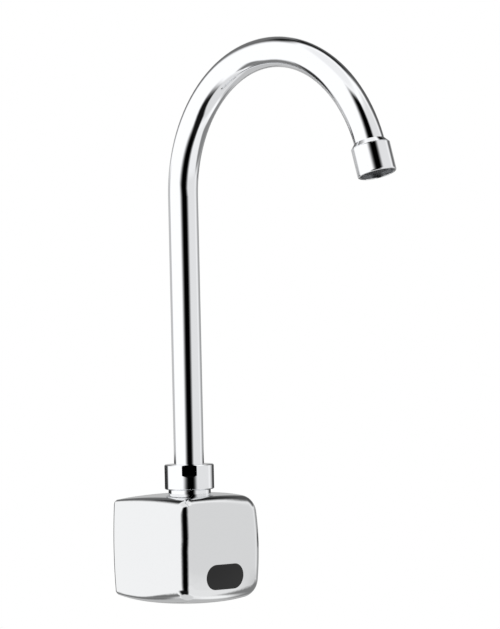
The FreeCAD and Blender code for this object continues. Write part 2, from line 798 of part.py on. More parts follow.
def coupling_nut():
    bottom = NECK_TOP + PRESS_GAP
    lip_z = NUT_TOP - NUT_LIP
    nut = turned(
        [
            (HUB_THREAD_R + SLIP, bottom),
            (NUT_R - NUT_CHAMFER, bottom),
            (NUT_R, bottom + NUT_CHAMFER),
            (NUT_R, NUT_TOP - NUT_CHAMFER),
            (NUT_R - NUT_CHAMFER, NUT_TOP),
            (TUBE_R + RUN_GAP, NUT_TOP),
            (TUBE_R + RUN_GAP, lip_z),
            (NUT_CAVITY_R, lip_z),
            (NUT_CAVITY_R, HUB_THREAD_TOP + GAP),
            (HUB_THREAD_R + SLIP, HUB_THREAD_TOP + GAP),
        ],
        V(0, STEM_Y, 0),
        Z,
    )
    flat_at = math.sqrt(NUT_R**2 - FLAT_HALF_CHORD**2)
    flat_end = NUT_TOP - FLAT_TOP_HIGH
    outline = [
        V(-NUT_R, -flat_at, NUT_TOP + 1),
        V(-NUT_R, -flat_at, flat_end),
        V(-NUT_R, -NUT_R, flat_end - FLAT_RUN_OUT),
        V(-NUT_R, -2 * NUT_R, flat_end - FLAT_RUN_OUT),
        V(-NUT_R, -2 * NUT_R, NUT_TOP + 1),
    ]
    for turn in (0, 180):
        side = Part.Face(Part.makePolygon(outline + outline[:1])).extrude(V(2 * NUT_R, 0, 0))
        side.rotate(V(0, 0, 0), Z, turn - FLAT_TURN)
        side.translate(V(0, STEM_Y, 0))
        nut = nut.cut(side)
    return nut


def o_ring_heights():
    room = COLLAR_FLANGE_Z - SOCKET_FLOOR
    return [SOCKET_FLOOR + room * share for share in (0.3, 0.7)]


def spout_collar():
    """Brass end of the spout: a tail with two seal grooves and a flange that the nut holds down."""
    tail_r = SOCKET_R - SLIP
    bore = TUBE_R - TUBE_WALL - 1.4
    collar = turned(
        [
            (bore, SOCKET_FLOOR + GAP),
            (tail_r, SOCKET_FLOOR + GAP),
            (tail_r, COLLAR_FLANGE_Z),
            (NUT_CAVITY_R - RUN_GAP, COLLAR_FLANGE_Z),
            (NUT_CAVITY_R - RUN_GAP, COLLAR_FLANGE_TOP),
            (TUBE_R + SLIP, COLLAR_FLANGE_TOP),
            (TUBE_R + SLIP, TUBE_FOOT - PRESS_GAP),
            (bore, TUBE_FOOT - PRESS_GAP),
        ],
        V(0, STEM_Y, 0),
        Z,
    )
    for z in o_ring_heights():
        groove = upright(tail_r + 1, z - 1.1 * O_RING_WIRE, z + 1.1 * O_RING_WIRE)
        collar = collar.cut(groove.cut(upright(groove_floor_r(), z - 5, z + 5)))
    return collar


def groove_floor_r():
    return SOCKET_R - SLIP - 2 * O_RING_WIRE


def spout_o_rings():
    middle = SOCKET_R - O_RING_WIRE - SLIP
    return [Part.makeTorus(middle, O_RING_WIRE - SLIP / 2, V(0, STEM_Y, z), Z) for z in o_ring_heights()]


def glide_ring():
    top = NUT_TOP - NUT_LIP
    ring = upright(NUT_CAVITY_R - RUN_GAP, top - GLIDE_THICK, top - PRESS_GAP)
    return ring.cut(upright(TUBE_R + GAP, 0, NUT_TOP))


def spout_tube():
    """One bent tube: straight up, over the arch, and a short straight end towards the basin."""
    bore = TUBE_R - TUBE_WALL
    stem = upright(TUBE_R, TUBE_FOOT, ARCH_START).cut(upright(bore, TUBE_FOOT - 1, ARCH_START + 1))
    section = Part.Face([Part.Wire(Part.makeCircle(r, V(0, STEM_Y, ARCH_START), Z)) for r in (TUBE_R, bore)])
    arch = section.revolve(V(0, STEM_Y - ARCH_R, ARCH_START), X, ARCH_DEG)
    tip = rod(TUBE_R, ARCH_END, ARCH_END + OUTLET_DIR * TUBE_TIP)
    tip = tip.cut(rod(bore, ARCH_END - OUTLET_DIR, ARCH_END + OUTLET_DIR * (TUBE_TIP + 1)))
    return stem.fuse([arch, tip]).removeSplitter()


# ---------------------------------------------------------------- outlet end
ADAPTER_END = 7.0
THREAD_R = 10.75
WASHER_THICK = 1.4
INSERT_FLANGE = 1.3
INSERT_START = ADAPTER_END + 2 * PRESS_GAP + WASHER_THICK
INSERT_SHOULDER = INSERT_START + INSERT_FLANGE
INSERT_R = 10.3
FOOT_RECESS = 1.9
INSERT_END = AERATOR_END - FOOT_RECESS
INSERT_WALL = 1.2
SCREEN_THICK = 0.5


def outlet_adapter():
    """Ring brazed to the tube's end, with the thread that the aerator screws on."""
    bore = TUBE_R + 1.5 * GAP
    way = TUBE_R - TUBE_WALL
    shoulder = AERATOR_START - PRESS_GAP
    return turned(
        [
            (bore, ADAPTER_TOP),
            (AERATOR_R - ADAPTER_SLOPE_WIDE, ADAPTER_TOP),
            (AERATOR_R, ADAPTER_TOP + ADAPTER_SLOPE_LONG),
            (AERATOR_R, shoulder - 0.15),
            (AERATOR_R - 0.15, shoulder),
            (THREAD_R, shoulder),
            (THREAD_R, ADAPTER_END),
            (way, ADAPTER_END),
            (way, TUBE_TIP + PRESS_GAP),
            (bore, TUBE_TIP + PRESS_GAP),
        ],
        ARCH_END,
        OUTLET_DIR,
    )


def aerator_housing():
    """Chromed sleeve. Its bore steps in to a ledge that holds the cartridge up against the washer."""
    edge = 0.8
    mouth = 0.25
    return turned(
        [
            (THREAD_R + SLIP, AERATOR_START),
            (AERATOR_R - 0.15, AERATOR_START),
            (AERATOR_R, AERATOR_START + 0.15),
            (AERATOR_R, AERATOR_END - edge),
            (AERATOR_R - 0.27 * edge, AERATOR_END - 0.27 * edge),
            (AERATOR_R - edge, AERATOR_END),
            (INSERT_R + GAP + mouth, AERATOR_END),
            (INSERT_R + GAP, AERATOR_END - mouth),
            (INSERT_R + GAP, INSERT_SHOULDER + PRESS_GAP),
            (THREAD_R + SLIP, INSERT_SHOULDER + PRESS_GAP),
        ],
        ARCH_END,
        OUTLET_DIR,
    )


def aerator_washer():
    profile = [
        (TUBE_R - TUBE_WALL, ADAPTER_END + PRESS_GAP),
        (THREAD_R - GAP, ADAPTER_END + PRESS_GAP),
        (THREAD_R - GAP, ADAPTER_END + PRESS_GAP + WASHER_THICK),
        (TUBE_R - TUBE_WALL, ADAPTER_END + PRESS_GAP + WASHER_THICK),
    ]
    return turned(profile, ARCH_END, OUTLET_DIR)


def aerator_insert():
    """Plastic cartridge: a cup with rings of jets in its roof and an open foot for the outlet screen."""
    roof = 1.6
    foot = INSERT_END - SCREEN_THICK - PRESS_GAP
    cup = turned(
        [
            (0, INSERT_START),
            (THREAD_R - GAP, INSERT_START),
            (THREAD_R - GAP, INSERT_SHOULDER),
            (INSERT_R, INSERT_SHOULDER),
            (INSERT_R, foot),
            (INSERT_R - INSERT_WALL, foot),
            (INSERT_R - INSERT_WALL, INSERT_START + roof),
            (0, INSERT_START + roof),
        ],
        ARCH_END,
        OUTLET_DIR,
    )
    across = OUTLET_DIR.cross(X)
    jets = []
    for pitch, count in ((3.2, 6), (6.2, 12)):
        for k in range(count):
            a = 2 * math.pi * k / count
            start = ARCH_END + X * (pitch * math.cos(a)) + across * (pitch * math.sin(a))
            jets.append(rod(0.6, start, start + OUTLET_DIR * INSERT_END))
    return cup.cut(jets)


def aerator_screen():
    """Outlet grid: a thin round plate with square holes in rows."""
    pitch = 1.6
    hole = 1.1
    start = ARCH_END + OUTLET_DIR * (INSERT_END - SCREEN_THICK)
    plate = rod(INSERT_R, start, start + OUTLET_DIR * SCREEN_THICK)
    across = OUTLET_DIR.cross(X)
    cells = []
    open_r = INSERT_R - INSERT_WALL
    count = int(open_r / pitch)
    for i in range(-count, count + 1):
        for k in range(-count, count + 1):
            if math.hypot(i, k) * pitch + hole > open_r:
                continue
            cell = Part.makeBox(hole, hole, 3 * SCREEN_THICK, V(-hole / 2, -hole / 2, -SCREEN_THICK))
            centre = start + X * (i * pitch) + across * (k * pitch)
            cell.Placement = FreeCAD.Placement(
                centre, FreeCAD.Rotation(X, across, OUTLET_DIR, "ZXY")
            ).multiply(cell.Placement)
            cells.append(cell)
    return plate.cut(cells)


# ---------------------------------------------------------------- window and sensor
def sensor_window():
    """Smoked plastic plug that fills the slot in the front and bears on the wall from behind."""
    plug = stadium(WINDOW_LONG - 2 * GAP, WINDOW_HIGH - 2 * GAP, -BODY_DEPTH - 1, -BODY_DEPTH / 2, -WINDOW_DROP)
    behind = WALL + WINDOW_GASKET + PRESS_GAP
    plug = plug.common(crowned_block(WINDOW_RECESS)).cut(crowned_block(behind + WINDOW_FLANGE_THICK))
    wide = stadium(
        WINDOW_LONG + 2 * WINDOW_FLANGE,
        WINDOW_HIGH + 2 * WINDOW_FLANGE,
        -BODY_DEPTH - 1,
        -BODY_DEPTH / 2,
        -WINDOW_DROP,
    )
    flange = wide.common(crowned_block(behind)).cut(crowned_block(behind + WINDOW_FLANGE_THICK))
    return plug.fuse(flange).removeSplitter()


def window_gasket():
    reach = 2 * (WINDOW_FLANGE - GAP)
    ring = stadium(WINDOW_LONG + reach, WINDOW_HIGH + reach, -BODY_DEPTH - 1, -BODY_DEPTH / 2, -WINDOW_DROP)
    hole = stadium(WINDOW_LONG, WINDOW_HIGH, -BODY_DEPTH - 1, -BODY_DEPTH / 2, -WINDOW_DROP)
    layer = crowned_block(WALL + PRESS_GAP / 2).cut(crowned_block(WALL + WINDOW_GASKET))
    return ring.cut(hole).common(layer)


def led_points():
    return [V(side * LED_PITCH / 2, CASE_FRONT, -WINDOW_DROP) for side in (-1, 1)]


def sensor_case():
    """Moulded case behind the window, open at the back, with an ear on each side."""
    shell = box(-CASE_HALF, CASE_HALF, CASE_FRONT, CASE_BACK, CASE_BOTTOM, CASE_TOP)
    shell = shell.makeFillet(CASE_CORNER, [e for e in shell.Edges if abs(e.Length - CASE_DEEP) < GAP])
    inside = box(
        -CASE_HALF + CASE_WALL,
        CASE_HALF - CASE_WALL,
        CASE_FRONT + CASE_WALL,
        CASE_BACK + 1,
        CASE_BOTTOM + CASE_WALL,
        CASE_TOP - CASE_WALL,
    )
    ears = []
    cuts = [inside]
    for side in (-1, 1):
        inner = side * (CASE_HALF - CASE_WALL / 2)
        outer = side * (CASE_SCREW_X + CASE_EAR_HALF)
        ears.append(
            box(
                inner,
                outer,
                CASE_EAR_BACK - CASE_EAR_THICK + PRESS_GAP,
                CASE_EAR_BACK,
                -WINDOW_DROP - CASE_EAR_HALF,
                -WINDOW_DROP + CASE_EAR_HALF,
            )
        )
        cuts.append(deep_rod(CASE_SCREW_R + SLIP, CASE_FRONT, CASE_BACK, side * CASE_SCREW_X, -WINDOW_DROP))
    for p in led_points():
        cuts.append(deep_rod(LED_R + SLIP, CASE_FRONT - 1, CASE_FRONT + CASE_WALL + 1, p.x, p.z))
    cuts.append(upright(LEAD_R + GAP, CASE_TOP - 2 * CASE_WALL, CASE_TOP + 1, LEAD_X, lead_drop_y()))
    return shell.fuse(ears).cut(cuts).removeSplitter()


def case_screws():
    screws = []
    for side in (-1, 1):
        x = side * CASE_SCREW_X
        seat = CASE_EAR_BACK + PRESS_GAP
        tip = CASE_EAR_BACK - CASE_EAR_THICK - CASE_SCREW_DEEP
        shank = deep_rod(CASE_SCREW_R, seat, tip, x, -WINDOW_DROP)
        head = deep_rod(2 * CASE_SCREW_R, seat, seat + CASE_HEAD_HIGH, x, -WINDOW_DROP)
        screws.append(shank.fuse(head).removeSplitter())
    return screws


def led(point):
    """Domed infrared diode whose lens stands in the case's front."""
    foot = point.y + LED_LONG
    barrel = deep_rod(LED_R, point.y + LED_R, foot, point.x, point.z)
    lens = Part.makeSphere(LED_R, V(point.x, point.y + LED_R, point.z))
    return barrel.fuse(lens).removeSplitter()


def circuit_board():
    y = CASE_FRONT + LED_LONG + PRESS_GAP
    return box(
        -CASE_HALF + CASE_WALL + GAP,
        CASE_HALF - CASE_WALL - GAP,
        y,
        y + BOARD_THICK,
        CASE_BOTTOM + CASE_WALL + GAP,
        CASE_TOP - CASE_WALL - GAP,
    )


def board_chips():
    """Two packages on the board's back face."""
    y = CASE_FRONT + LED_LONG + 2 * PRESS_GAP + BOARD_THICK
    mid = (CASE_TOP + CASE_BOTTOM) / 2
    return [
        box(-12.0, -5.0, y, y + 1.5, mid - 3.5, mid + 3.5),
        box(3.0, 8.0, y, y + 1.2, mid - 2.0, mid + 2.0),
    ]


def contact_points():
    """Where the two leaf springs stand on the lid: their middles, at the battery's height."""
    return [V(side * CONTACT_PITCH / 2, CASE_BACK, BATTERY_TOP - BATTERY_HIGH / 2) for side in (-1, 1)]


def battery_contacts():
    """Two bent leaves. Each tail passes through the lid to the board, and each knee presses on a terminal."""
    board_back = CASE_FRONT + LED_LONG + 2 * PRESS_GAP + BOARD_THICK
    leaves = []
    for p in contact_points():
        foot = p.y + PRESS_GAP
        knee = BATTERY_FRONT - PRESS_GAP - CONTACT_THICK
        near = [
            V(p.x, foot, p.z - CONTACT_HIGH / 2),
            V(p.x, foot, p.z),
            V(p.x, knee, p.z + CONTACT_HIGH / 4),
            V(p.x, foot + CONTACT_THICK, p.z + CONTACT_HIGH / 2),
        ]
        far = [q + Y * CONTACT_THICK for q in reversed(near)]
        leaf = Part.Face(Part.makePolygon(near + far + near[:1])).extrude(X * CONTACT_WIDE)
        leaf.translate(X * (-CONTACT_WIDE / 2))
        tail = box(
            p.x - CONTACT_WIDE / 2,
            p.x + CONTACT_WIDE / 2,
            board_back + PRESS_GAP,
            foot + CONTACT_THICK,
            p.z - CONTACT_HIGH / 2,
            p.z - CONTACT_HIGH / 2 + CONTACT_THICK,
        )
        leaves.append(leaf.fuse(tail).removeSplitter())
    return leaves


def case_lid():
    """Plate that closes the sensor case, with a slot for each contact's tail."""
    lid = box(
        -CASE_HALF + CASE_WALL + GAP,
        CASE_HALF - CASE_WALL - GAP,
        CASE_BACK - CASE_WALL,
        CASE_BACK,
        CASE_BOTTOM + CASE_WALL + GAP,
        CASE_TOP - CASE_WALL - GAP,
    )
    slots = [
        box(
            p.x - CONTACT_WIDE / 2 - GAP,
            p.x + CONTACT_WIDE / 2 + GAP,
            CASE_BACK - CASE_WALL - 1,
            CASE_BACK + 1,
            p.z - CONTACT_HIGH / 2 - GAP,
            p.z - CONTACT_HIGH / 2 + CONTACT_THICK + GAP,
        )
        for p in contact_points()
    ]
    return lid.cut(slots)


def lead_drop_y():
    return CASE_FRONT + LEAD_SETBACK


def lead_start():
    """Where the lead leaves the winding, low on the solenoid's front."""
    angle = math.radians(LEAD_EXIT_DEG)
    reach = WINDING_R + PRESS_GAP + LEAD_R * math.tan(angle)
    return V(LEAD_X, STEM_Y - reach * math.cos(angle), INLET_Z - reach * math.sin(angle))


def solenoid_lead():
    """Two-core lead from the coil, forwards and then down into the sensor case."""
    start = lead_start()
    bend = V(LEAD_X, lead_drop_y() + LEAD_BEND, start.z)
    drop = V(LEAD_X, lead_drop_y(), start.z - LEAD_BEND)
    middle = bend + V(0, -LEAD_BEND * math.sin(math.pi / 4), -LEAD_BEND * (1 - math.cos(math.pi / 4)))
    end = V(LEAD_X, lead_drop_y(), CASE_TOP - CASE_WALL)
    path = Part.Wire(
        [Part.makeLine(start, bend), Part.Arc(bend, middle, drop).toShape(), Part.makeLine(drop, end)]
    )
    ring = Part.Wire(Part.makeCircle(LEAD_R, start, -Y))
    return path.makePipeShell([ring], True, False)


# ---------------------------------------------------------------- battery
def battery():
    """Two-cell lithium pack that fills the bay from the contacts to the tray's back wall."""
    half = BATTERY_WIDE / 2
    pack = box(-half, half, BATTERY_FRONT, BATTERY_BACK, BATTERY_TOP - BATTERY_HIGH, BATTERY_TOP)
    long = BATTERY_BACK - BATTERY_FRONT
    return pack.makeFillet(BATTERY_ROUND, [e for e in pack.Edges if abs(e.Length - long) < GAP])


def tray_arm_z():
    return TRAY_FLOOR_Z + TRAY_ARM_HIGH / 2 + TRAY_WALL / 2


TRAY_FLOOR_Z = BATTERY_TOP - BATTERY_HIGH - TRAY_GAP / 2


def battery_tray():
    """Open tray on an arm from the mounting plate."""
    half = BATTERY_WIDE / 2 + TRAY_GAP
    front = BATTERY_FRONT + TRAY_SHORT
    back = BATTERY_BACK + TRAY_GAP
    floor_z = TRAY_FLOOR_Z
    tray = box(-half - TRAY_WALL, half + TRAY_WALL, front, back + TRAY_WALL, floor_z - TRAY_WALL, floor_z)
    walls = [
        box(
            side * half,
            side * (half + TRAY_WALL),
            front,
            back + TRAY_WALL,
            floor_z - TRAY_WALL,
            floor_z + TRAY_SIDE_HIGH,
        )
        for side in (-1, 1)
    ]
    outer = half + TRAY_WALL
    end_wall = box(-outer, outer, back, back + TRAY_WALL, floor_z - TRAY_WALL, floor_z + TRAY_END_HIGH)
    arm = box(
        -TRAY_ARM_HALF,
        TRAY_ARM_HALF,
        back,
        -PLATE_THICK - PRESS_GAP,
        tray_arm_z() - TRAY_ARM_HIGH / 2,
        tray_arm_z() + TRAY_ARM_HIGH / 2,
    )
    head_room = deep_rod(2 * TRAY_SCREW_R + GAP, back - 1, back + 2 * TRAY_WALL, 0, tray_arm_z())
    hole = deep_rod(TRAY_SCREW_R + SLIP, back - 1, 0, 0, tray_arm_z())
    return tray.fuse(walls + [end_wall, arm]).cut([head_room, hole]).removeSplitter()


def tray_screw():
    seat = BATTERY_BACK + TRAY_GAP + 2 * TRAY_WALL
    head = deep_rod(2 * TRAY_SCREW_R, seat - TRAY_HEAD_HIGH, seat, 0, tray_arm_z())
    shank = deep_rod(TRAY_SCREW_R, seat, -PLATE_THICK / 4, 0, tray_arm_z())
    return head.fuse(shank).removeSplitter()


# ---------------------------------------------------------------- write every node
def main():
    os.makedirs("parts", exist_ok=True)
    put("housing", housing())
    put("rim_seal", rim_seal())
    put("wall_plate", wall_plate())
    put("set_screws", *set_screws())
    put("valve_body", valve_body())
    put("valve_screws", *valve_screws())
    put("inlet_washer", inlet_washer())
    put("inlet_screen", inlet_screen())
    cage, poppet, check_spring = check_valve_parts()
    put("check_valve_cage", cage)
    put("check_valve_poppet", poppet)
    put("check_valve_spring", check_spring)
    skin, disc = diaphragm_parts()
    put("diaphragm", skin)
    put("diaphragm_disc", disc)
    put("solenoid_bonnet", solenoid_bonnet())
    put("bonnet_screws", *bonnet_screws())
    put("core_tube", core_tube())
    plunger, tip, plunger_spring = plunger_parts()
    put("plunger", plunger)
    put("plunger_tip", tip)
    put("plunger_spring", plunger_spring)
    put("coil_bobbin", coil_bobbin())
    put("coil_winding", coil_winding())
    put("solenoid_yoke", solenoid_yoke())
    put("coil_nut", coil_nut())
    put("outlet_hub", outlet_hub())
    put("hub_washer", hub_washer())
    put("hub_tail_seal", hub_tail_seal())
    put("coupling_nut", coupling_nut())
    put("glide_ring", glide_ring())
    put("spout_collar", spout_collar())
    put("spout_o_rings", *spout_o_rings())
    put("spout_tube", spout_tube())
    put("outlet_adapter", outlet_adapter())
    put("aerator_housing", aerator_housing())
    put("aerator_washer", aerator_washer())
    put("aerator_insert", aerator_insert())
    put("aerator_screen", aerator_screen())
    put("sensor_window", sensor_window())
    put("window_gasket", window_gasket())
    put("sensor_case", sensor_case())
    put("case_lid", case_lid())
    put("case_screws", *case_screws())
    emitter, receiver = (led(p) for p in led_points())
    put("ir_emitter", emitter)
    put("ir_receiver", receiver)
    put("circuit_board", circuit_board())
    put("board_chips", *board_chips())
    put("solenoid_lead", solenoid_lead())
    put("battery", battery())
    put("battery_contacts", *battery_contacts())
    put("battery_tray", battery_tray())
    put("tray_screw", tray_screw())


main()
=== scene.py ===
import math

import bpy
from mathutils import Matrix, Vector


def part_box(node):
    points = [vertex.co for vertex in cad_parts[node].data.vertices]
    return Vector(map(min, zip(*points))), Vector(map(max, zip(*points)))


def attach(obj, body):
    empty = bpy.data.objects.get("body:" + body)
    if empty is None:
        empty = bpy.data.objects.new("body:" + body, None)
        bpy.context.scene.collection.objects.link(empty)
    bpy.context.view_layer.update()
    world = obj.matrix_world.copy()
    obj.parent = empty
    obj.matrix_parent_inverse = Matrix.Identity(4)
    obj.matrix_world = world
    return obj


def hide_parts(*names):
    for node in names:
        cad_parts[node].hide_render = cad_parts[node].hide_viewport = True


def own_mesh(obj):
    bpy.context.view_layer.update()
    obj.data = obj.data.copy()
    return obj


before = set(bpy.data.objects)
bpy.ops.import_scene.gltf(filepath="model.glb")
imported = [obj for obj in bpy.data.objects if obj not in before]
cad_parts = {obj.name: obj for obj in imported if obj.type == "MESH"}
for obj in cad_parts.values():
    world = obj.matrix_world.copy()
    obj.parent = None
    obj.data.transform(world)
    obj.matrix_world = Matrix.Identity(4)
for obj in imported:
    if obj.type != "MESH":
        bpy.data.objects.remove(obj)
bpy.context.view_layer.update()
MM = 0.001

# ---------------------------------------------------------------- camera
# A long-lens view from the tap's front left, at about half the spout's height, very slightly rolled. FOCAL_PX
# is the lens's length in pixels of a picture PICTURE_HEIGHT high.
AZIMUTH = math.radians(-42.57)
ELEVATION = math.radians(1.29)
ROLL = math.radians(-1.27)
EYE = Vector((-2.21524, -2.50838, 0.22211))
FOCAL_PX = 5224.6
PICTURE_HEIGHT = 629
SENSOR_MM = 36.0
FAR_CLIP = 100.0  # metres, beyond the tent and the floor


def add_camera():
    """Puts the lens at EYE, turned by its azimuth, elevation and roll."""
    back = Vector(
        (
            math.sin(AZIMUTH) * math.cos(ELEVATION),
            -math.cos(AZIMUTH) * math.cos(ELEVATION),
            math.sin(ELEVATION),
        )
    )
    right = Vector((0, 0, 1)).cross(back).normalized()
    up = back.cross(right)
    side = math.cos(ROLL) * right + math.sin(ROLL) * up
    over = math.cos(ROLL) * up - math.sin(ROLL) * right
    turn = Matrix((side, over, back)).transposed()
    data = bpy.data.cameras.new("camera")
    data.sensor_width = SENSOR_MM
    data.lens = SENSOR_MM * FOCAL_PX / PICTURE_HEIGHT
    data.clip_end = FAR_CLIP
    camera = bpy.data.objects.new("camera", data)
    camera.matrix_world = Matrix.Translation(EYE) @ turn.to_4x4()
    bpy.context.collection.objects.link(camera)
    bpy.context.scene.camera = camera


# ---------------------------------------------------------------- node helpers
def linear(hex_colour):
    """sRGB hex to the linear colour that shaders take."""
    parts = [int(hex_colour[i : i + 2], 16) / 255 for i in (1, 3, 5)]
    return tuple(c / 12.92 if c <= 0.04045 else ((c + 0.055) / 1.055) ** 2.4 for c in parts) + (1.0,)


def add_node(tree, kind, inputs=None, **settings):
    """Adds a node with its settings. inputs gives a value or another node's output for each socket."""
    made = tree.nodes.new(kind)
    for name, value in settings.items():
        setattr(made, name, value)
    for name, value in (inputs or {}).items():
        if isinstance(value, bpy.types.NodeSocket):
            tree.links.new(value, made.inputs[name])
        else:
            made.inputs[name].default_value = value
    return made


def calculate(tree, operation, *values):
    """The result of one Math node on numbers or other nodes' outputs."""
    return add_node(tree, "ShaderNodeMath", dict(enumerate(values)), operation=operation).outputs["Value"]


def start_material(name, colour, metallic, roughness, **more):
    """A material with one Principled shader. more holds further sockets, with _ for a space."""
    material = bpy.data.materials.new(name)
    material.use_nodes = True
    tree = material.node_tree
    shader = tree.nodes["Principled BSDF"]
    shader.inputs["Base Color"].default_value = linear(colour)
    shader.inputs["Metallic"].default_value = metallic
    shader.inputs["Roughness"].default_value = roughness
    for socket, value in more.items():
        shader.inputs[socket.replace("_", " ")].default_value = value
    place = add_node(tree, "ShaderNodeTexCoord").outputs["Object"]
    return material, tree, shader, place


def set_bump(tree, shader, height, strength, depth_mm):
    """Raises a pattern between 0 and 1 by up to depth_mm in the shading."""
    bump = add_node(tree, "ShaderNodeBump", {"Height": height, "Strength": strength, "Distance": depth_mm * MM})
    tree.links.new(bump.outputs["Normal"], shader.inputs["Normal"])


def set_range(tree, shader, socket, factor, low, high):
    """Lets a pattern between 0 and 1 move a shader value between low and high."""
    spread = add_node(tree, "ShaderNodeMapRange", {"Value": factor, "To Min": low, "To Max": high})
    tree.links.new(spread.outputs["Result"], shader.inputs[socket])


def set_tint(tree, shader, factor, low, high):
    """Lets a pattern between 0 and 1 move the base colour between two sRGB hex colours."""
    inputs = {"Factor": factor, "A": linear(low), "B": linear(high)}
    tint = add_node(tree, "ShaderNodeMix", inputs, data_type="RGBA")
    tree.links.new(tint.outputs["Result"], shader.inputs["Base Color"])


def grain(tree, place, size_mm, detail=2.0, rough=0.5):
    """Noise whose features are about size_mm across."""
    inputs = {"Vector": place, "Scale": 1.0 / (size_mm * MM), "Detail": detail, "Roughness": rough}
    return add_node(tree, "ShaderNodeTexNoise", inputs).outputs["Fac"]


def stretched(tree, place, scale):
    """Coordinates squeezed along an axis, so that a pattern is drawn out along it."""
    return add_node(tree, "ShaderNodeMapping", {"Vector": place, "Scale": scale}).outputs["Vector"]


# ---------------------------------------------------------------- materials
WAVE_BAND = 0.314  # how far apart a wave texture's bands are at scale 1


def polished_chrome():
    # Bright chrome over nickel on buffed brass and zinc. It mirrors the studio, with the faint waviness
    # that buffing leaves, a few centimetres long, and a film of dust that only shifts its gloss.
    material, tree, shader, place = start_material("polished_chrome", "#EEEFF1", 1.0, 0.03)
    set_bump(tree, shader, grain(tree, place, 14.0, 1.0), 0.25, 0.010)
    set_range(tree, shader, "Roughness", grain(tree, place, 6.0, 3.0), 0.022, 0.055)
    return material


def chrome_on_casting_painted_darker():
    # Chrome on a zinc die casting, with painted shade: its base colour is a shade darker than the tube's
    # chrome, though the plating is the same. It has the longer, shallower waves of a casting that was linished
    # before plating.
    material, tree, shader, place = start_material("chrome_on_casting_painted_darker", "#E1E2E3", 1.0, 0.04)
    set_bump(tree, shader, grain(tree, place, 26.0, 1.0), 0.25, 0.014)
    set_range(tree, shader, "Roughness", grain(tree, place, 8.0, 3.0), 0.03, 0.07)
    return material


def smoked_acrylic():
    # Infrared-pass acrylic, injection moulded and polished: near black, glossy, with a slight flow pattern.
    material, tree, shader, place = start_material(
        "smoked_acrylic", "#050506", 0.0, 0.08, IOR=1.49, Specular_IOR_Level=0.36
    )
    set_range(tree, shader, "Roughness", grain(tree, place, 4.0, 2.0), 0.06, 0.12)
    set_bump(tree, shader, grain(tree, place, 9.0, 1.0), 0.15, 0.01)
    return material


def brushed_stainless():
    # Stamped 304 sheet with a belt-brushed face: fine scratches along X, under half a millimetre apart.
    material, tree, shader, place = start_material("brushed_stainless", "#B9B8B5", 1.0, 0.32)
    lines = grain(tree, stretched(tree, place, (0.02, 1.0, 1.0)), 0.35, 3.0)
    set_range(tree, shader, "Roughness", lines, 0.24, 0.42)
    set_bump(tree, shader, lines, 0.5, 0.008)
    return material


def turned_stainless():
    # Lathe-turned stainless: tight, even, with a soft sheen.
    material, tree, shader, place = start_material("turned_stainless", "#C2C2C1", 1.0, 0.22)
    set_range(tree, shader, "Roughness", grain(tree, place, 0.5, 2.0), 0.16, 0.30)
    set_bump(tree, shader, grain(tree, place, 0.4, 2.0), 0.3, 0.004)
    return material


def rolled_screw_steel():
    # Cold-headed A2 screws, tumbled bright: small dents and a satin shine.
    material, tree, shader, place = start_material("rolled_screw_steel", "#B4B4B3", 1.0, 0.28)
    set_range(tree, shader, "Roughness", grain(tree, place, 0.8, 3.0), 0.20, 0.38)
    set_bump(tree, shader, grain(tree, place, 0.6, 2.0), 0.4, 0.01)
    return material


def spring_wire():
    # Drawn stainless wire, bright along its length.
    material, tree, shader, place = start_material("spring_wire", "#B8B8B8", 1.0, 0.25)
    set_range(tree, shader, "Roughness", grain(tree, place, 0.3, 2.0), 0.18, 0.32)
    return material


def zinc_plated_steel():
    # Mild steel, blue-passivated zinc: a grey with a cool, blotchy bloom.
    material, tree, shader, place = start_material("zinc_plated_steel", "#A3A8AE", 1.0, 0.34)
    cloud = grain(tree, place, 3.0, 4.0)
    set_tint(tree, shader, cloud, "#98A0AA", "#B1B2AF")
    set_range(tree, shader, "Roughness", cloud, 0.26, 0.44)
    return material


def machined_brass():
    # Cast and machined brass, unplated inside: warm yellow with tool lines and darker, cast skin patches.
    material, tree, shader, place = start_material("machined_brass", "#C9A561", 1.0, 0.30)
    patches = grain(tree, place, 7.0, 4.0)
    set_tint(tree, shader, patches, "#B48F4E", "#D7B671")
    set_range(tree, shader, "Roughness", patches, 0.22, 0.42)
    set_bump(tree, shader, grain(tree, stretched(tree, place, (1.0, 0.05, 1.0)), 0.3, 2.0), 0.35, 0.01)
    return material


def moulded_rubber():
    # EPDM, compression moulded: matt black with a faint grey bloom.
    material, tree, shader, place = start_material("moulded_rubber", "#1C1C1D", 0.0, 0.62)
    set_range(tree, shader, "Roughness", grain(tree, place, 1.5, 3.0), 0.52, 0.72)
    set_bump(tree, shader, grain(tree, place, 0.25, 2.0), 0.5, 0.02)
    return material


def closed_cell_foam():
    # Die-cut EPDM foam strip: charcoal, with open cells of about a third of a millimetre at the cut.
    material, tree, shader, place = start_material("closed_cell_foam", "#27282A", 0.0, 0.85)
    cells = add_node(tree, "ShaderNodeTexVoronoi", {"Vector": place, "Scale": 1.0 / (0.35 * MM)})
    set_bump(tree, shader, cells.outputs["Distance"], 0.8, 0.08)
    return material


def moulded_nylon():
    # Glass-filled nylon, spark-eroded mould texture: matt black with a fine sparkle.
    material, tree, shader, place = start_material("moulded_nylon", "#232426", 0.0, 0.5)
    set_range(tree, shader, "Roughness", grain(tree, place, 0.5, 3.0), 0.42, 0.62)
    set_bump(tree, shader, grain(tree, place, 0.3, 2.0), 0.4, 0.02)
    return material


def natural_acetal():
    # Turned or moulded acetal: milky white, waxy, and a little light goes into it.
    material, tree, shader, place = start_material("natural_acetal", "#ECEAE2", 0.0, 0.38)
    shader.inputs["Subsurface Weight"].default_value = 0.1
    shader.inputs["Subsurface Scale"].default_value = 0.8 * MM
    set_range(tree, shader, "Roughness", grain(tree, place, 1.0, 2.0), 0.32, 0.46)
    return material


